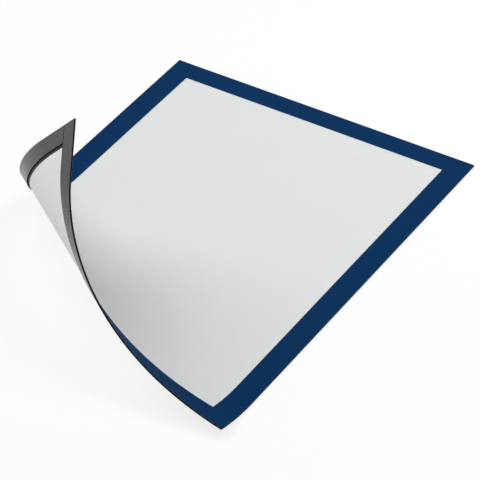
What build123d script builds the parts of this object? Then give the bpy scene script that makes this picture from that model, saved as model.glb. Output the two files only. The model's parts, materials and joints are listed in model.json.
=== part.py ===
from build123d import *
import os
from math import atan2, cos, degrees, radians, sin

# Magnetic photo frame: a thin laminate that clings to steel, shown with one corner peeled up.
# Millimetres, +Z out of the front, origin mid-frame on the plane of the magnets' backs.
# +X runs along the short edges and +Y along the long ones; the lower left corner is the peeled one.

# Sheet that the frame holds, and the margins round it
INSERT_WIDTH = 210.0
INSERT_LENGTH = 297.0
INSERT_CLEARANCE = 0.5
EDGE_MARGIN = 13.0
BORDER_LAP = 3.0
RING_SETBACK = 1.3
STRIP_SETBACK = 2.2
STRIP_SEAM = 0.6

# Thickness of each layer, from the back to the front
STRIP_THICKNESS = 0.85
RING_THICKNESS = 0.12
INSERT_THICKNESS = 0.1
FILM_THICKNESS = 0.1
BORDER_THICKNESS = 0.08

# Curl of the peeled corner: its fold lines all run through one cone point beyond the upper left corner
CONE_POINT_LEFT = 330.0
CONE_POINT_ABOVE = 59.0
FOLD_COUNT = 8
FOLD_ANGLE = 15.0
FOLD_GAP = 0.05
TIP_LENGTH = 53.4
CORNER_LAND = 1.4

# Outlines that follow from the sheet and its margins
frame_width = INSERT_WIDTH + 2 * EDGE_MARGIN
frame_length = INSERT_LENGTH + 2 * EDGE_MARGIN
border_width = EDGE_MARGIN + BORDER_LAP
window_width = frame_width - 2 * border_width
window_length = frame_length - 2 * border_width
pocket_width = INSERT_WIDTH + 2 * INSERT_CLEARANCE
pocket_bottom = -INSERT_LENGTH / 2 - INSERT_CLEARANCE
pocket_length = frame_length / 2 - pocket_bottom
ring_width = border_width - RING_SETBACK
ring_opening_width = frame_width - 2 * ring_width
ring_opening_length = frame_length - 2 * ring_width
strip_width = ring_width - STRIP_SETBACK
side_strip_length = frame_length - 2 * (strip_width + STRIP_SEAM)
strip_x = (frame_width - strip_width) / 2
strip_y = (frame_length - strip_width) / 2

# Level of each layer's back face
ring_level = STRIP_THICKNESS
insert_level = ring_level + RING_THICKNESS
film_level = insert_level + INSERT_THICKNESS
border_level = film_level + FILM_THICKNESS
front_level = border_level + BORDER_THICKNESS

# Magnet strips on the back: centre, width and length of each; the two short ones run to the corners
strips = {
    "magnet_top": ((0, strip_y), frame_width, strip_width),
    "magnet_bottom": ((0, -strip_y), frame_width, strip_width),
    "magnet_left": ((-strip_x, 0), strip_width, side_strip_length),
    "magnet_right": ((strip_x, 0), strip_width, side_strip_length),
}

# Fold lines, each named by its angle below +X as seen from the cone point
cone_point = Vector(-frame_width / 2 - CONE_POINT_LEFT, frame_length / 2 + CONE_POINT_ABOVE)


def angle_from_cone_point(x, y):
    """Angle below +X, in degrees, at which the cone point sees a place on the flat sheet."""
    return degrees(atan2(cone_point.Y - y, x - cone_point.X))


def fold_direction(angle):
    """Unit vector along the fold line at this angle, away from the cone point."""
    return Vector(cos(radians(angle)), -sin(radians(angle)))


# The last fold crosses the left edge at the flat tip, and the second one the bottom edge by the near corner
tip_fold_angle = angle_from_cone_point(-frame_width / 2, -frame_length / 2 + TIP_LENGTH)
corner_fold_angle = angle_from_cone_point(frame_width / 2 - CORNER_LAND, -frame_length / 2)
fold_pitch = (tip_fold_angle - corner_fold_angle) / (FOLD_COUNT - 2)
fold_angles = [corner_fold_angle + fold_pitch * step for step in range(-1, FOLD_COUNT - 1)]


def fold_hinge(angle):
    """Plane at the cone point on the front face, with X back along the fold line."""
    return Plane(cone_point + Vector(0, 0, front_level), x_dir=-fold_direction(angle), z_dir=(0, 0, 1))


# Where each slice of the sheet lies: the flat panel, then every fold turned up from the one before it
sheet_places = [Location()]
for angle in fold_angles:
    hinge = fold_hinge(angle).location
    turn = hinge * Location((0, 0, 0), (FOLD_ANGLE, 0, 0)) * hinge.inverse()
    sheet_places.append(sheet_places[-1] * turn)

slice_names = ["panel"] + [f"fold_{number}" for number in range(1, FOLD_COUNT + 1)]

# Rays from the cone point that bound the slices, started and ended clear of the sheet
top_angles = [angle_from_cone_point(x, frame_length / 2) for x in (-frame_width / 2, frame_width / 2)]
tip_angle = angle_from_cone_point(-frame_width / 2, -frame_length / 2)
slice_angles = [min(top_angles) - fold_pitch, *fold_angles, tip_angle + fold_pitch]
near_reach = CONE_POINT_LEFT / 2
far_reach = CONE_POINT_LEFT + frame_width + CONE_POINT_ABOVE + frame_length


def slice_region(first_angle, second_angle):
    """Corners of the wedge between two rays, drawn in by half the fold gap on both sides."""
    first, second = fold_direction(first_angle), fold_direction(second_angle)
    first_start = cone_point + first.rotate(Axis.Z, -90) * (FOLD_GAP / 2)
    second_start = cone_point + second.rotate(Axis.Z, 90) * (FOLD_GAP / 2)
    return [
        first_start + first * near_reach,
        first_start + first * far_reach,
        second_start + second * far_reach,
        second_start + second * near_reach,
    ]


def strip_crosses(centre, width, length, first_angle, second_angle):
    """True where a strip's span of angles reaches into a slice by more than the fold gap."""
    x, y = centre
    corners = [(x + side * width / 2, y + end * length / 2) for side in (-1, 1) for end in (-1, 1)]
    angles = [angle_from_cone_point(*corner) for corner in corners]
    shared_angle = min(max(angles), second_angle) - max(min(angles), first_angle)
    return shared_angle > degrees(FOLD_GAP / near_reach)


os.makedirs("parts", exist_ok=True)

for number, slice_name in enumerate(slice_names):
    sheet = Plane(sheet_places[number])
    region = slice_region(slice_angles[number], slice_angles[number + 1])

    # Printed border round the front of the window
    with BuildPart() as border:
        with BuildSketch(sheet.offset(border_level)):
            Rectangle(frame_width, frame_length)
            Rectangle(window_width, window_length, mode=Mode.SUBTRACT)
            Polygon(*region, mode=Mode.INTERSECT)
        extrude(amount=BORDER_THICKNESS)
    border.part.label = f"front_border_{slice_name}"
    export_step(border.part, f"parts/{border.part.label}.step")

    # Clear window film over the whole face
    with BuildPart() as film:
        with BuildSketch(sheet.offset(film_level)):
            Rectangle(frame_width, frame_length)
            Polygon(*region, mode=Mode.INTERSECT)
        extrude(amount=FILM_THICKNESS)
    film.part.label = f"window_film_{slice_name}"
    export_step(film.part, f"parts/{film.part.label}.step")

    # Paper sheet behind the film
    with BuildPart() as insert:
        with BuildSketch(sheet.offset(insert_level)):
            Rectangle(INSERT_WIDTH, INSERT_LENGTH)
            Polygon(*region, mode=Mode.INTERSECT)
        extrude(amount=INSERT_THICKNESS)
    insert.part.label = f"insert_sheet_{slice_name}"
    export_step(insert.part, f"parts/{insert.part.label}.step")

    # Backing ring, narrower than the border, with a shallow pocket for the paper that is open at the top
    with BuildPart() as ring:
        with BuildSketch(sheet.offset(ring_level)):
            Rectangle(frame_width, frame_length)
            Rectangle(ring_opening_width, ring_opening_length, mode=Mode.SUBTRACT)
            Polygon(*region, mode=Mode.INTERSECT)
        extrude(amount=RING_THICKNESS + INSERT_THICKNESS)
        with BuildSketch(sheet.offset(insert_level)):
            with Locations((0, pocket_bottom)):
                Rectangle(pocket_width, pocket_length, align=(Align.CENTER, Align.MIN))
        extrude(amount=INSERT_THICKNESS, mode=Mode.SUBTRACT)
    ring.part.label = f"backing_ring_{slice_name}"
    export_step(ring.part, f"parts/{ring.part.label}.step")

    # Magnet strips, where they cross this slice of the sheet
    for strip_name, (centre, width, length) in strips.items():
        if not strip_crosses(centre, width, length, slice_angles[number], slice_angles[number + 1]):
            continue
        with BuildPart() as strip:
            with BuildSketch(sheet):
                with Locations(centre):
                    Rectangle(width, length)
                Polygon(*region, mode=Mode.INTERSECT)
            extrude(amount=STRIP_THICKNESS)
        strip.part.label = f"{strip_name}_{slice_name}"
        export_step(strip.part, f"parts/{strip.part.label}.step")
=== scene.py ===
"""Magnetic photo frame: a thin laminate for one A4 sheet, with a corner peeled up and curled over.

Each layer is made flat, divided where the sheet bends, and laid on the curl that the hinges give.
"""

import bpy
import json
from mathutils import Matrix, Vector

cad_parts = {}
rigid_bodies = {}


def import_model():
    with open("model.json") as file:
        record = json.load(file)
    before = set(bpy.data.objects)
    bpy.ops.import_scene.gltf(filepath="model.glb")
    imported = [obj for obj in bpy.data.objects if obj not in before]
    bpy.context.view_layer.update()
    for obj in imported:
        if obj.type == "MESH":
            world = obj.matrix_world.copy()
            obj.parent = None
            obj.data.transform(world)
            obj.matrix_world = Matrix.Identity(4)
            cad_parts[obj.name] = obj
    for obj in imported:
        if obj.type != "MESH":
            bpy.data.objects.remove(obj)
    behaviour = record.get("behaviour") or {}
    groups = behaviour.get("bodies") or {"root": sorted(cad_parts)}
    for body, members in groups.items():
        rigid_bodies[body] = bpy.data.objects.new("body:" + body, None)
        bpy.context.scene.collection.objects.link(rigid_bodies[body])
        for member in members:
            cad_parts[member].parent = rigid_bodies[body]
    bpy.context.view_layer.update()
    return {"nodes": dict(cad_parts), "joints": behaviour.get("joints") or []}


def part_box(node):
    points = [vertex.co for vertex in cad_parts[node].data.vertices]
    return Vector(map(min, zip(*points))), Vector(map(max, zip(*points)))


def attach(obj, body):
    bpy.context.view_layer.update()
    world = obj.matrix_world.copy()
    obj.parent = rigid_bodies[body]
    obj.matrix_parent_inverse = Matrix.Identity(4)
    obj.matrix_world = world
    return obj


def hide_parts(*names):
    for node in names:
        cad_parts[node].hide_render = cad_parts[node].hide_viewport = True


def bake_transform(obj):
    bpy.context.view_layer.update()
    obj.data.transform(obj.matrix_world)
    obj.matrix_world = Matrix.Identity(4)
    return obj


bl_info = {
    "name": "Magnetic Photo Frame",
    "version": (1, 0, 0),
    "blender": (4, 5, 0),
    "location": "View3D > Sidebar > Photo Frame",
    "description": "Dresses the layers of a magnetic photo frame whose corner is peeled up",
    "category": "Add Mesh",
}

import json
import math
from itertools import product

import bmesh
import bpy
import numpy as np
from bpy.props import FloatProperty, FloatVectorProperty, IntProperty, PointerProperty
from mathutils import Matrix, Vector

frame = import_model()
MM = 0.001

# The curl, read from the frame: all hinge lines run through one cone point, and each turns alike
HINGES = frame["joints"]
HINGE_AXES = [Vector(hinge["axis"]).normalized() for hinge in HINGES]
BODIES = [HINGES[0]["parent"]] + [hinge["child"] for hinge in HINGES]
FOLD_PITCH = HINGE_AXES[0].angle(HINGE_AXES[1])
FOLD_TURN = -math.radians(HINGES[0]["range_deg"][0])
FIRST_FOLD = math.atan2(HINGE_AXES[0].y, -HINGE_AXES[0].x)
BEND_START = FIRST_FOLD - FOLD_PITCH / 2
BEND_END = BEND_START + len(HINGES) * FOLD_PITCH

# A smooth cone that touches every flat slice along its middle: one turn about a fixed axis per fold
FOLD_STEP = Matrix.Rotation(FOLD_TURN, 3, HINGE_AXES[0]) @ Matrix.Rotation(-FOLD_PITCH, 3, "Z")
CONE_AXIS, CONE_TURN = FOLD_STEP.to_quaternion().to_axis_angle()

# Outlines and levels of the flat layers, read from the frame's panel
HALF_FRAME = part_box("window_film_panel")[1]
HALF_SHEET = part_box("insert_sheet_panel")[1]
TOP_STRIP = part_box("magnet_top_panel")
LEFT_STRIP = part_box("magnet_left_panel")
FRONT_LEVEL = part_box("front_border_panel")[1].z
BORDER_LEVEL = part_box("front_border_panel")[0].z
FILM_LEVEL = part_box("window_film_panel")[0].z
SHEET_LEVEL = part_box("insert_sheet_panel")[0].z
RING_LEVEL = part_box("backing_ring_panel")[0].z

# A section narrower than a sliver stays with its neighbour, and a cut this near a corner takes it
SLIVER = 2 * MM
WELD = 1e-7

# A face at least this square to the sheet is a flat side of its layer, and any other is an edge
FLAT_FACING = 0.9

# Map that gives each place on the flat sheet in metres
SHEET_MAP = "flat_sheet"

FLOOR_LEVEL = -0.1 * MM
WHITE = (1.0, 1.0, 1.0, 1.0)


def linear(colour):
    """Linear red, green, blue and alpha of an sRGB hex colour."""
    shares = [int(colour[place:place + 2], 16) / 255 for place in (1, 3, 5)]
    curved = [
        share / 12.92 if share <= 0.04045 else ((share + 0.055) / 1.055) ** 2.4 for share in shares
    ]
    return (*curved, 1.0)


def shaded(colour, factor):
    """A linear colour made lighter or darker by a factor."""
    return [share * factor for share in colour[:3]] + [1.0]


def colour_property(name, description, colour):
    """A colour setting whose default is an sRGB hex colour."""
    return FloatVectorProperty(
        name=name, description=description, subtype="COLOR", size=4, min=0, max=1,
        default=linear(colour),
    )


def length_property(name, description, default):
    """A length setting in metres."""
    return FloatProperty(
        name=name, description=description, subtype="DISTANCE", unit="LENGTH", min=0, precision=5,
        default=default,
    )


def place_property(name, description, default):
    """A place setting in metres."""
    return FloatVectorProperty(
        name=name, description=description, subtype="XYZ", unit="LENGTH", precision=5,
        default=default,
    )


def power_property(name, description, default):
    """A lamp's power setting in watts."""
    return FloatProperty(name=name, description=description, unit="POWER", min=0, default=default)


def angle_property(name, description, degrees):
    """An angle setting, with its default in degrees."""
    return FloatProperty(
        name=name, description=description, subtype="ANGLE", default=math.radians(degrees)
    )


class PhotoFrameSizes(bpy.types.PropertyGroup):
    """Sizes of the dressing that the frame does not give."""

    film_air: length_property(
        "Air behind film", "Gap between the window film and the sheet", 0.02 * MM
    )
    strip_edge: length_property(
        "Strip edge", "Rounding along the edges of a magnet strip", 0.1 * MM
    )
    pocket_clearance: length_property(
        "Pocket clearance", "Room beside the sheet in its pocket", 0.5 * MM
    )
    bend_steps: IntProperty(
        name="Bend steps", description="Facets from one fold to the next", min=2, default=12
    )
    cross_spacing: length_property(
        "Cross spacing", "Distance between the cuts along a fold line", 30 * MM
    )


class PhotoFrameColours(bpy.types.PropertyGroup):
    """Colours of the layers."""

    border: colour_property("Border", "Printed film round the window", "#0C3057")
    film: colour_property("Film", "Clear film over the sheet", "#EDEFEF")
    paper: colour_property("Paper", "Sheet in the window", "#E7E9E8")
    backing: colour_property("Backing", "Film ring under the strips", "#2C2C2F")
    magnet_face: colour_property("Magnet face", "Satin face of a magnet strip", "#1C1D1D")
    # The slit edges' near black is partly the rubber's own colour, partly painted shade along the
    # strip walls
    slit_edge_and_shade: colour_property("Magnet core", "Slit edge of a magnet strip", "#030304")


class PhotoFrameStage(bpy.types.PropertyGroup):
    """Floor, light and camera."""

    floor: colour_property("Floor", "Plain floor", "#FBFBFB")
    floor_size: length_property("Floor size", "Side of the floor", 40.0)
    floor_glow: FloatProperty(
        name="Floor glow", description="Share of plain white that the camera sees in the floor",
        subtype="FACTOR", min=0, max=1, default=0.8,
    )
    sky_strength: FloatProperty(
        name="Sky", description="Even light from all round", min=0, default=0.16
    )
    side_lamp_power: power_property("Side lamp", "Power of the large lamp at the left", 95.0)
    side_lamp_size: length_property("Side lamp size", "Side of the large lamp at the left", 3.0)
    side_lamp_place: place_property(
        "Side lamp place", "Middle of the large lamp at the left", (-2.2, 0.2, 2.3)
    )
    top_lamp_power: power_property("Top lamp", "Power of the lamp over the far right corner", 3.5)
    top_lamp_size: length_property(
        "Top lamp size", "Side of the lamp over the far right corner", 0.5
    )
    top_lamp_place: place_property(
        "Top lamp place", "Middle of the lamp over the far right corner", (0.4, 0.35, 0.8)
    )
    azimuth: angle_property("Azimuth", "Camera's angle round the part", 31.73)
    elevation: angle_property("Elevation", "Camera's angle above the floor", 38.10)
    distance: length_property("Distance", "From the camera to its target", 2.082)
    lens: FloatProperty(
        name="Lens", description="Focal length in millimetres", subtype="DISTANCE_CAMERA",
        default=238.5,
    )
    target: place_property("Target", "Place that the camera looks at", (0.02618, 0.00948, 0.0006))


def hinge_meeting():
    """The cone point: the place nearest to every hinge line."""
    across = [np.eye(3) - np.outer(axis, axis) for axis in HINGE_AXES]
    places = [np.array(hinge["pos_m"]) for hinge in HINGES]
    pulled = sum(flat @ place for flat, place in zip(across, places))
    return Vector(np.linalg.solve(sum(across), pulled))


CONE_POINT = hinge_meeting()


def opening(node):
    """Half sizes of a ring node's opening: its inner corner in the quarter that no fold cuts."""
    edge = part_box(node)[1]
    corners = [vertex.co.copy() for vertex in frame["nodes"][node].data.vertices]
    return next(co for co in corners if 0 < co.x < edge.x - SLIVER and 0 < co.y < edge.y - SLIVER)


WINDOW = opening("front_border_panel")
RING_OPENING = opening("backing_ring_panel")


def hinge_reach(hinge):
    """Distance from the cone point to the middle of a hinge line."""
    return (Vector(hinge["pos_m"]) - CONE_POINT).length


def sheet_angle(place):
    """Angle below +X at which the cone point sees a place on the flat sheet."""
    return math.atan2(CONE_POINT.y - place.y, place.x - CONE_POINT.x)


def across_fold(angle):
    """Direction on the flat sheet, square to this angle's fold line, towards the peeled corner."""
    return Vector((-math.sin(angle), -math.cos(angle), 0))


def curl(angle):
    """Turn of the sheet at this angle: none on the flat panel, then growing evenly in the bend."""
    swept = min(max(angle, BEND_START), BEND_END) - BEND_START
    turn = Matrix.Rotation(swept / FOLD_PITCH * CONE_TURN, 3, CONE_AXIS)
    return turn @ Matrix.Rotation(swept, 3, "Z")


def flat_solid(x_lines, y_lines, z_lines, hollow=lambda x, y, z: False):
    """Closed flat solid: the cells between these planes, except those whose middle is hollow."""
    lines = (x_lines, y_lines, z_lines)
    solid = bmesh.new()
    corners = {
        place: solid.verts.new([line[index] for line, index in zip(lines, place)])
        for place in product(*(range(len(line)) for line in lines))
    }

    def is_solid(cell):
        if not all(0 <= index < len(line) - 1 for line, index in zip(lines, cell)):
            return False
        middle = [(line[index] + line[index + 1]) / 2 for line, index in zip(lines, cell)]
        return not hollow(*middle)

    for cell in product(*(range(len(line) - 1) for line in lines)):
        for axis, side in product(range(3), (0, 1)):
            step = [2 * side - 1 if place == axis else 0 for place in range(3)]
            if not is_solid(cell) or is_solid([index + move for index, move in zip(cell, step)]):
                continue
            first, second = [place for place in range(3) if place != axis]
            ring = []
            for right, up in ((0, 0), (1, 0), (1, 1), (0, 1)):
                corner = list(cell)
                corner[axis] += side
                corner[first] += right
                corner[second] += up
                ring.append(corners[tuple(corner)])
            solid.faces.new(ring)
    unused = [vertex for vertex in solid.verts if not vertex.link_faces]
    bmesh.ops.delete(solid, geom=unused, context="VERTS")
    bmesh.ops.recalc_face_normals(solid, faces=solid.faces)
    return solid


def cut(solid, place, facing, **clear):
    """Cuts a flat solid along a plane, and closes it where a side is cleared."""
    bmesh.ops.bisect_plane(
        solid, geom=[*solid.verts, *solid.edges, *solid.faces], dist=WELD,
        plane_co=place, plane_no=facing, **clear,
    )
    bmesh.ops.holes_fill(solid, edges=[edge for edge in solid.edges if edge.is_boundary])


def section_of(angle):
    """Name of the sheet's section at this angle, with the fold that it bends across or None."""
    if angle < BEND_START:
        return "flat", None
    if angle > BEND_END:
        return "tip", None
    place = (angle - BEND_START) / FOLD_PITCH
    fold = int(place) + 1
    if place < 0.5:
        return "rise", fold
    if place > len(HINGES) - 0.5:
        return "fall", fold
    return f"bend_{fold}", fold


def section_bounds():
    """Angles that divide the sheet: the middles of the slices, and the first and last folds."""
    middles = [BEND_START + FOLD_PITCH * step for step in range(len(HINGES) + 1)]
    return sorted([*middles, FIRST_FOLD, BEND_END - FOLD_PITCH / 2])


def subdivide(solid, first, last, sizes):
    """Cuts a section along the fold lines that cross it, and at even distances across them."""
    steps = max(1, round((last - first) / FOLD_PITCH * sizes.bend_steps))
    for step in range(1, steps):
        cut(solid, CONE_POINT, across_fold(first + (last - first) * step / steps))
    count = int(HALF_FRAME.x / sizes.cross_spacing)
    for step in range(-count, count + 1):
        cut(solid, (step * sizes.cross_spacing, 0, 0), (1, 0, 0))


def curled_piece(name, solid, materials, along):
    """Object of a flat section laid on the curl, with normals that run on between sections."""
    mesh = bpy.data.meshes.new(name)
    solid.to_mesh(mesh)
    solid.free()
    turns = [curl(sheet_angle(vertex.co)) for vertex in mesh.vertices]
    flat = [vertex.co.copy() for vertex in mesh.vertices]
    places = mesh.uv_layers.new(name=SHEET_MAP).data
    normals = [None] * len(mesh.loops)
    for polygon in mesh.polygons:
        facing = polygon.normal.copy()
        polygon.use_smooth = True
        polygon.material_index = 0 if abs(facing.z) > FLAT_FACING else len(materials) - 1
        for loop in polygon.loop_indices:
            vertex = mesh.loops[loop].vertex_index
            place = flat[vertex] + HALF_FRAME
            places[loop].uv = (place.y, place.x) if along == "Y" else (place.x, place.y)
            normals[loop] = turns[vertex] @ facing
    for vertex, turn in zip(mesh.vertices, turns):
        vertex.co = CONE_POINT + turn @ (vertex.co - CONE_POINT)
    mesh.normals_split_custom_set(normals)
    for material in materials:
        mesh.materials.append(material)
    piece = bpy.data.objects.new(name, mesh)
    bpy.context.collection.objects.link(piece)
    return piece


def carry(piece, section, fold):
    """Lets a piece ride on its body, or bakes in place a piece that lies across a fold, and gives
    the bodies it follows.
    """
    if fold is None:
        body = BODIES[0] if section == "flat" else BODIES[-1]
        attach(piece, body)
        return [body]
    hinge = HINGES[fold - 1]
    bodies = [hinge["parent"], hinge["child"]]
    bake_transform(piece)
    return bodies


def lay_layer(layer, solid, materials, sizes, along="X"):
    """Divides a flat layer where the sheet bends, and lays its sections on the curl."""
    angles = [sheet_angle(vertex.co) for vertex in solid.verts]
    lowest, highest = min(angles), max(angles)
    margin = SLIVER / hinge_reach(HINGES[0])
    inner = [angle for angle in section_bounds() if lowest + margin < angle < highest - margin]
    bounds = [lowest, *inner, highest]
    nodes = {body: f"{layer}_{body}" for body in BODIES}
    unreplaced = {body: node for body, node in nodes.items() if node in frame["nodes"]}
    for first, last in zip(bounds, bounds[1:]):
        section, fold = section_of((first + last) / 2)
        cutting = solid.copy()
        if first > lowest:
            cut(cutting, CONE_POINT, across_fold(first), clear_inner=True)
        if last < highest:
            cut(cutting, CONE_POINT, across_fold(last), clear_outer=True)
        if fold is not None:
            subdivide(cutting, first, last, sizes)
        piece = curled_piece(f"{layer}_{section}", cutting, materials, along)
        bodies = carry(piece, section, fold)
        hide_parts(*[unreplaced.pop(body) for body in bodies if body in unreplaced])
    solid.free()
    if unreplaced:
        raise RuntimeError(f"no section of {layer} stands for {sorted(unreplaced.values())}")


def add_node(tree, kind, inputs=None, **settings):
    """Adds a node with its settings, and gives each named input its value or its link."""
    node = tree.nodes.new(kind)
    for name, value in settings.items():
        setattr(node, name, value)
    for name, value in (inputs or {}).items():
        if isinstance(value, bpy.types.NodeSocket):
            tree.links.new(value, node.inputs[name])
        else:
            node.inputs[name].default_value = value
    return node


def empty_tree(owner):
    """The emptied node tree of a material or a world."""
    owner.use_nodes = True
    owner.node_tree.nodes.clear()
    return owner.node_tree


def new_material(name):
    """A material, with its node tree and the places on the flat sheet in metres."""
    material = bpy.data.materials.new(name)
    tree = empty_tree(material)
    sheet = add_node(tree, "ShaderNodeUVMap", uv_map=SHEET_MAP).outputs["UV"]
    return material, tree, sheet


def show_grained(tree, colour, grain, roughness, bump, optics):
    """Shows a surface whose roughness and fine relief both follow one grain."""
    rough = add_node(tree, "ShaderNodeMapRange", {
        "Value": grain, "To Min": roughness[0], "To Max": roughness[1],
    })
    relief = add_node(tree, "ShaderNodeBump", {
        "Height": grain, "Strength": bump[0], "Distance": bump[1],
    })
    shader = add_node(tree, "ShaderNodeBsdfPrincipled", {
        "Base Color": colour, "Roughness": rough.outputs[0], "Normal": relief.outputs[0], **optics,
    })
    add_node(tree, "ShaderNodeOutputMaterial", {"Surface": shader.outputs[0]})


def border_film(colours):
    """Calendered PVC film, printed navy: an even dark blue, matt grained, with hardly any shine."""
    material, tree, sheet = new_material("calendered_pvc_navy")
    # The roll grain is about 0.2 mm, drawn at 0.9 mm so that it shows
    grain = add_node(tree, "ShaderNodeTexNoise", {
        "Vector": sheet, "Scale": 1 / (0.9 * MM), "Detail": 3.0,
    })
    # The ink's depth wanders over about 14 mm
    ink = add_node(tree, "ShaderNodeTexNoise", {
        "Vector": sheet, "Scale": 1 / (14 * MM), "Detail": 2.0,
    })
    colour = add_node(tree, "ShaderNodeMix", {
        "Factor": ink.outputs[0], "A": colours.border, "B": shaded(colours.border, 1.12),
    }, data_type="RGBA")
    show_grained(
        tree, colour.outputs["Result"], grain.outputs[0], roughness=(0.42, 0.62),
        bump=(0.12, 0.05 * MM), optics={"IOR": 1.53, "Specular IOR Level": 0.01},
    )
    return material


def window_film(colours):
    """Clear PVC film with anti-glare lacquer: a thin veil over the sheet with a soft dull sheen."""
    material, tree, sheet = new_material("anti_glare_pvc_clear")
    # The lacquer's grain is about 0.05 mm, drawn at 0.8 mm so that it shows
    grain = add_node(tree, "ShaderNodeTexNoise", {
        "Vector": sheet, "Scale": 1 / (0.8 * MM), "Detail": 2.0,
    })
    show_grained(
        tree, colours.film, grain.outputs[0], roughness=(0.30, 0.42),
        bump=(0.08, 0.02 * MM), optics={"IOR": 1.54, "Alpha": 0.15},
    )
    return material


def insert_paper(colours):
    """Uncoated wood-free paper: pale and dull, with a faint cloudy formation and short fibres."""
    material, tree, sheet = new_material("uncoated_paper")
    # The pulp clouds over about 6 mm
    cloud = add_node(tree, "ShaderNodeTexNoise", {
        "Vector": sheet, "Scale": 1 / (6 * MM), "Detail": 3.0,
    })
    # Fibres are about 0.03 mm thick, drawn at 0.4 mm so that they show
    fibre_scale = (1 / (3 * MM), 1 / (0.4 * MM), 1.0)
    lying = add_node(tree, "ShaderNodeMapping", {"Vector": sheet, "Scale": fibre_scale})
    fibre = add_node(tree, "ShaderNodeTexNoise", {
        "Vector": lying.outputs[0], "Scale": 1.0, "Detail": 4.0,
    })
    tone = add_node(tree, "ShaderNodeMath", {
        0: cloud.outputs[0], 1: fibre.outputs[0],
    }, operation="MULTIPLY")
    colour = add_node(tree, "ShaderNodeMix", {
        "Factor": tone.outputs[0], "A": colours.paper, "B": shaded(colours.paper, 0.95),
    }, data_type="RGBA")
    show_grained(
        tree, colour.outputs["Result"], fibre.outputs[0], roughness=(0.78, 0.95),
        bump=(0.15, 0.03 * MM), optics={"IOR": 1.47, "Specular IOR Level": 0.3},
    )
    return material


def backing_film(colours):
    """Matt PVC film, dark grey right through: dull, with a coarser grain than the border."""
    material, tree, sheet = new_material("matt_pvc_dark")
    # The embossing is about 0.3 mm, drawn at 1 mm so that it shows
    grain = add_node(tree, "ShaderNodeTexVoronoi", {"Vector": sheet, "Scale": 1 / (1.0 * MM)})
    colour = add_node(tree, "ShaderNodeMix", {
        "Factor": grain.outputs[0], "A": colours.backing, "B": shaded(colours.backing, 1.3),
    }, data_type="RGBA")
    show_grained(
        tree, colour.outputs["Result"], grain.outputs[0], roughness=(0.5, 0.7),
        bump=(0.2, 0.05 * MM), optics={"IOR": 1.53, "Specular IOR Level": 0.15},
    )
    return material


def magnet_face(colours):
    """Extruded ferrite rubber, satin faced: dark grey, shiny at low angles, its die lines painted
    lighter as partly a painted sheen.
    """
    material, tree, sheet = new_material("ferrite_rubber_satin")
    # Die lines run along the strip, about 0.1 mm apart, drawn at 2.5 mm so that they show
    streak_scale = (1 / (90 * MM), 1 / (2.5 * MM), 1.0)
    drawn = add_node(tree, "ShaderNodeMapping", {"Vector": sheet, "Scale": streak_scale})
    streak = add_node(tree, "ShaderNodeTexNoise", {
        "Vector": drawn.outputs[0], "Scale": 1.0, "Detail": 4.0,
    })
    # The die lines are painted up to three times lighter than the face: partly the rubber's own
    # streaks, partly a painted sheen along them
    die_lines_and_sheen = add_node(tree, "ShaderNodeMapRange", {
        "Value": streak.outputs[0], "From Min": 0.3, "From Max": 0.7,
    })
    colour = add_node(tree, "ShaderNodeMix", {
        "Factor": die_lines_and_sheen.outputs[0], "A": colours.magnet_face, "B": shaded(colours.magnet_face, 3.0),
    }, data_type="RGBA")
    # Ferrite grains are a few hundredths of a millimetre, drawn at 0.7 mm so that they show
    speck = add_node(tree, "ShaderNodeTexNoise", {
        "Vector": sheet, "Scale": 1 / (0.7 * MM), "Detail": 2.0,
    })
    show_grained(
        tree, colour.outputs["Result"], speck.outputs[0], roughness=(0.2, 0.32),
        bump=(0.1, 0.03 * MM), optics={"IOR": 1.5, "Specular IOR Level": 0.3},
    )
    return material


def slit_edge_and_shade(colours):
    """Ferrite rubber where the strip was slit: near black, partly its own colour and partly painted
    shade on the strip walls, dull and grainy.
    """
    material, tree, sheet = new_material("ferrite_rubber_slit")
    # Torn grains are about 0.1 mm, drawn at 0.7 mm so that they show
    grain = add_node(tree, "ShaderNodeTexNoise", {
        "Vector": sheet, "Scale": 1 / (0.7 * MM), "Detail": 2.0,
    })
    colour = add_node(tree, "ShaderNodeMix", {
        "Factor": grain.outputs[0], "A": colours.slit_edge_and_shade, "B": shaded(colours.slit_edge_and_shade, 1.6),
    }, data_type="RGBA")
    shader = add_node(tree, "ShaderNodeBsdfPrincipled", {
        "Base Color": colour.outputs["Result"], "Roughness": 0.8, "IOR": 1.5,
        "Specular IOR Level": 0.06,
    })
    add_node(tree, "ShaderNodeOutputMaterial", {"Surface": shader.outputs[0]})
    return material


def within(x, y, half):
    """True inside a rectangle of these half sizes about the middle of the sheet."""
    return abs(x) < half.x and abs(y) < half.y


class PHOTOFRAME_OT_front_border(bpy.types.Operator):
    """Lays the printed border round the front of the window"""

    bl_idname = "photoframe.front_border"
    bl_label = "Front Border"

    def execute(self, context):
        settings = context.scene
        solid = flat_solid(
            (-HALF_FRAME.x, -WINDOW.x, WINDOW.x, HALF_FRAME.x),
            (-HALF_FRAME.y, -WINDOW.y, WINDOW.y, HALF_FRAME.y),
            (BORDER_LEVEL, FRONT_LEVEL),
            lambda x, y, z: within(x, y, WINDOW),
        )
        materials = [border_film(settings.photo_frame_colours)]
        lay_layer("front_border", solid, materials, settings.photo_frame_sizes)
        return {"FINISHED"}


class PHOTOFRAME_OT_window_film(bpy.types.Operator):
    """Lays the clear film over the whole face"""

    bl_idname = "photoframe.window_film"
    bl_label = "Window Film"

    def execute(self, context):
        settings = context.scene
        solid = flat_solid(
            (-HALF_FRAME.x, HALF_FRAME.x),
            (-HALF_FRAME.y, HALF_FRAME.y),
            (FILM_LEVEL + settings.photo_frame_sizes.film_air, BORDER_LEVEL),
        )
        materials = [window_film(settings.photo_frame_colours)]
        lay_layer("window_film", solid, materials, settings.photo_frame_sizes)
        return {"FINISHED"}


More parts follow.
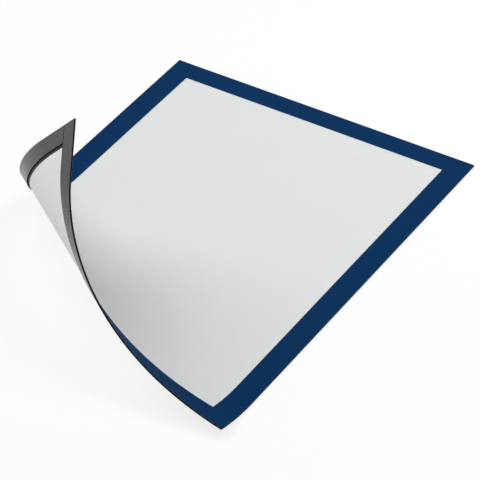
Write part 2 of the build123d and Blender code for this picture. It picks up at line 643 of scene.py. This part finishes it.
class PHOTOFRAME_OT_insert_sheet(bpy.types.Operator):
    """Lays the paper sheet behind the film"""

    bl_idname = "photoframe.insert_sheet"
    bl_label = "Insert Sheet"

    def execute(self, context):
        settings = context.scene
        solid = flat_solid(
            (-HALF_SHEET.x, HALF_SHEET.x),
            (-HALF_SHEET.y, HALF_SHEET.y),
            (SHEET_LEVEL, FILM_LEVEL),
        )
        materials = [insert_paper(settings.photo_frame_colours)]
        lay_layer("insert_sheet", solid, materials, settings.photo_frame_sizes)
        return {"FINISHED"}


class PHOTOFRAME_OT_backing_ring(bpy.types.Operator):
    """Lays the backing ring, whose shallow pocket for the sheet is open along the top edge"""

    bl_idname = "photoframe.backing_ring"
    bl_label = "Backing Ring"

    def execute(self, context):
        settings = context.scene
        clearance = settings.photo_frame_sizes.pocket_clearance
        pocket_x = HALF_SHEET.x + clearance
        pocket_bottom = -HALF_SHEET.y - clearance

        def hollow(x, y, z):
            in_pocket = z > SHEET_LEVEL and abs(x) < pocket_x and y > pocket_bottom
            return in_pocket or within(x, y, RING_OPENING)

        solid = flat_solid(
            (-HALF_FRAME.x, -pocket_x, -RING_OPENING.x, RING_OPENING.x, pocket_x, HALF_FRAME.x),
            (-HALF_FRAME.y, pocket_bottom, -RING_OPENING.y, RING_OPENING.y, HALF_FRAME.y),
            (RING_LEVEL, SHEET_LEVEL, FILM_LEVEL),
            hollow,
        )
        materials = [backing_film(settings.photo_frame_colours)]
        lay_layer("backing_ring", solid, materials, settings.photo_frame_sizes)
        return {"FINISHED"}


class PHOTOFRAME_OT_magnet_strips(bpy.types.Operator):
    """Lays the four magnet strips on the back; the two short ones run out to the corners"""

    bl_idname = "photoframe.magnet_strips"
    bl_label = "Magnet Strips"

    def execute(self, context):
        settings = context.scene
        sizes, colours = settings.photo_frame_sizes, settings.photo_frame_colours
        materials = [magnet_face(colours), slit_edge_and_shade(colours)]
        inner_x, inner_y = -LEFT_STRIP[1].x, TOP_STRIP[0].y
        end_y = LEFT_STRIP[1].y
        outlines = {
            "magnet_top": ((-HALF_FRAME.x, HALF_FRAME.x), (inner_y, HALF_FRAME.y), "X"),
            "magnet_bottom": ((-HALF_FRAME.x, HALF_FRAME.x), (-HALF_FRAME.y, -inner_y), "X"),
            "magnet_left": ((-HALF_FRAME.x, -inner_x), (-end_y, end_y), "Y"),
            "magnet_right": ((inner_x, HALF_FRAME.x), (-end_y, end_y), "Y"),
        }
        for layer, (x_lines, y_lines, along) in outlines.items():
            solid = flat_solid(x_lines, y_lines, (TOP_STRIP[0].z, RING_LEVEL))
            bmesh.ops.bevel(
                solid, geom=solid.edges[:], offset=sizes.strip_edge, segments=2, profile=0.5,
                affect="EDGES",
            )
            lay_layer(layer, solid, materials, sizes, along)
        return {"FINISHED"}


class PHOTOFRAME_OT_stage(bpy.types.Operator):
    """Sets up the plain floor, the soft light and the camera"""

    bl_idname = "photoframe.stage"
    bl_label = "Stage"

    def execute(self, context):
        scene = context.scene
        stage = scene.photo_frame_stage
        scene.view_settings.view_transform = "Standard"
        self.make_floor(stage)
        self.make_sky(scene, stage)
        for name in ("side_lamp", "top_lamp"):
            self.make_lamp(scene, stage, name)
        self.make_camera(scene, stage)
        return {"FINISHED"}

    def seen_rays(self, tree):
        """One for rays of the camera, a reflection or a clear film, and zero for all others."""
        path = add_node(tree, "ShaderNodeLightPath")
        mirrored = add_node(tree, "ShaderNodeMath", {
            0: path.outputs["Is Camera Ray"], 1: path.outputs["Is Glossy Ray"],
        }, operation="MAXIMUM")
        seen = add_node(tree, "ShaderNodeMath", {
            0: mirrored.outputs[0], 1: path.outputs["Is Transmission Ray"],
        }, operation="MAXIMUM")
        return seen.outputs[0]

    def make_floor(self, stage):
        """Matt floor under the magnets: nearly white, with a soft shadow, and clear from below."""
        mesh = bpy.data.meshes.new("floor")
        half = stage.floor_size / 2
        corners = [(-half, -half), (half, -half), (half, half), (-half, half)]
        mesh.from_pydata([(x, y, FLOOR_LEVEL) for x, y in corners], [], [(0, 1, 2, 3)])
        material = bpy.data.materials.new("floor_matt_paint")
        tree = empty_tree(material)
        paint = add_node(tree, "ShaderNodeBsdfDiffuse", {"Color": stage.floor})
        white = add_node(tree, "ShaderNodeEmission", {"Color": WHITE, "Strength": 1.0})
        glow = add_node(tree, "ShaderNodeMath", {
            0: self.seen_rays(tree), 1: stage.floor_glow,
        }, operation="MULTIPLY")
        top = add_node(tree, "ShaderNodeMixShader", {
            0: glow.outputs[0], 1: paint.outputs[0], 2: white.outputs[0],
        })
        clear = add_node(tree, "ShaderNodeBsdfTransparent")
        side = add_node(tree, "ShaderNodeNewGeometry")
        surface = add_node(tree, "ShaderNodeMixShader", {
            0: side.outputs["Backfacing"], 1: top.outputs[0], 2: clear.outputs[0],
        })
        add_node(tree, "ShaderNodeOutputMaterial", {"Surface": surface.outputs[0]})
        mesh.materials.append(material)
        floor = bpy.data.objects.new("floor", mesh)
        bpy.context.collection.objects.link(floor)

    def make_sky(self, scene, stage):
        """Even light from all round, which the camera and reflections see as plain white."""
        world = bpy.data.worlds.new("white_studio")
        tree = empty_tree(world)
        lit = add_node(tree, "ShaderNodeBackground", {
            "Color": WHITE, "Strength": stage.sky_strength,
        })
        white = add_node(tree, "ShaderNodeBackground", {"Color": WHITE, "Strength": 1.0})
        sky = add_node(tree, "ShaderNodeMixShader", {
            0: self.seen_rays(tree), 1: lit.outputs[0], 2: white.outputs[0],
        })
        add_node(tree, "ShaderNodeOutputWorld", {"Surface": sky.outputs[0]})
        scene.world = world

    def make_lamp(self, scene, stage, name):
        """A soft square lamp that faces the part."""
        lamp = bpy.data.lights.new(name, "AREA")
        lamp.energy = getattr(stage, f"{name}_power")
        lamp.size = getattr(stage, f"{name}_size")
        holder = bpy.data.objects.new(name, lamp)
        holder.location = getattr(stage, f"{name}_place")
        holder.rotation_euler = (-holder.location).to_track_quat("-Z", "Y").to_euler()
        scene.collection.objects.link(holder)

    def make_camera(self, scene, stage):
        """Long lens at the photographed angle."""
        level = math.cos(stage.elevation)
        back = Vector((
            math.sin(stage.azimuth) * level,
            -math.cos(stage.azimuth) * level,
            math.sin(stage.elevation),
        ))
        camera = bpy.data.cameras.new("camera")
        camera.lens = stage.lens
        holder = bpy.data.objects.new("camera", camera)
        holder.location = Vector(stage.target) + back * stage.distance
        holder.rotation_euler = (-back).to_track_quat("-Z", "Y").to_euler()
        scene.collection.objects.link(holder)
        scene.camera = holder


OPERATORS = (
    PHOTOFRAME_OT_front_border,
    PHOTOFRAME_OT_window_film,
    PHOTOFRAME_OT_insert_sheet,
    PHOTOFRAME_OT_backing_ring,
    PHOTOFRAME_OT_magnet_strips,
    PHOTOFRAME_OT_stage,
)


class PHOTOFRAME_PT_panel(bpy.types.Panel):
    """Sidebar panel with the layers and their settings"""

    bl_idname = "PHOTOFRAME_PT_panel"
    bl_label = "Photo Frame"
    bl_space_type = "VIEW_3D"
    bl_region_type = "UI"
    bl_category = "Photo Frame"

    def draw(self, context):
        scene = context.scene
        for group in (scene.photo_frame_sizes, scene.photo_frame_colours, scene.photo_frame_stage):
            box = self.layout.box()
            for name in group.bl_rna.properties.keys():
                if name not in ("rna_type", "name"):
                    box.prop(group, name)
        for operator in OPERATORS:
            self.layout.operator(operator.bl_idname)


CLASSES = (PhotoFrameSizes, PhotoFrameColours, PhotoFrameStage, *OPERATORS, PHOTOFRAME_PT_panel)


def register():
    """Registers the classes and hangs their settings on the scene."""
    for item in CLASSES:
        bpy.utils.register_class(item)
    bpy.types.Scene.photo_frame_sizes = PointerProperty(type=PhotoFrameSizes)
    bpy.types.Scene.photo_frame_colours = PointerProperty(type=PhotoFrameColours)
    bpy.types.Scene.photo_frame_stage = PointerProperty(type=PhotoFrameStage)


def unregister():
    """Takes the settings off the scene and the classes out again."""
    del bpy.types.Scene.photo_frame_stage
    del bpy.types.Scene.photo_frame_colours
    del bpy.types.Scene.photo_frame_sizes
    for item in reversed(CLASSES):
        bpy.utils.unregister_class(item)


def main():
    """Makes every piece and the stage."""
    register()
    bpy.ops.photoframe.front_border()
    bpy.ops.photoframe.window_film()
    bpy.ops.photoframe.insert_sheet()
    bpy.ops.photoframe.backing_ring()
    bpy.ops.photoframe.magnet_strips()
    bpy.ops.photoframe.stage()


if __name__ == "__main__":
    main()
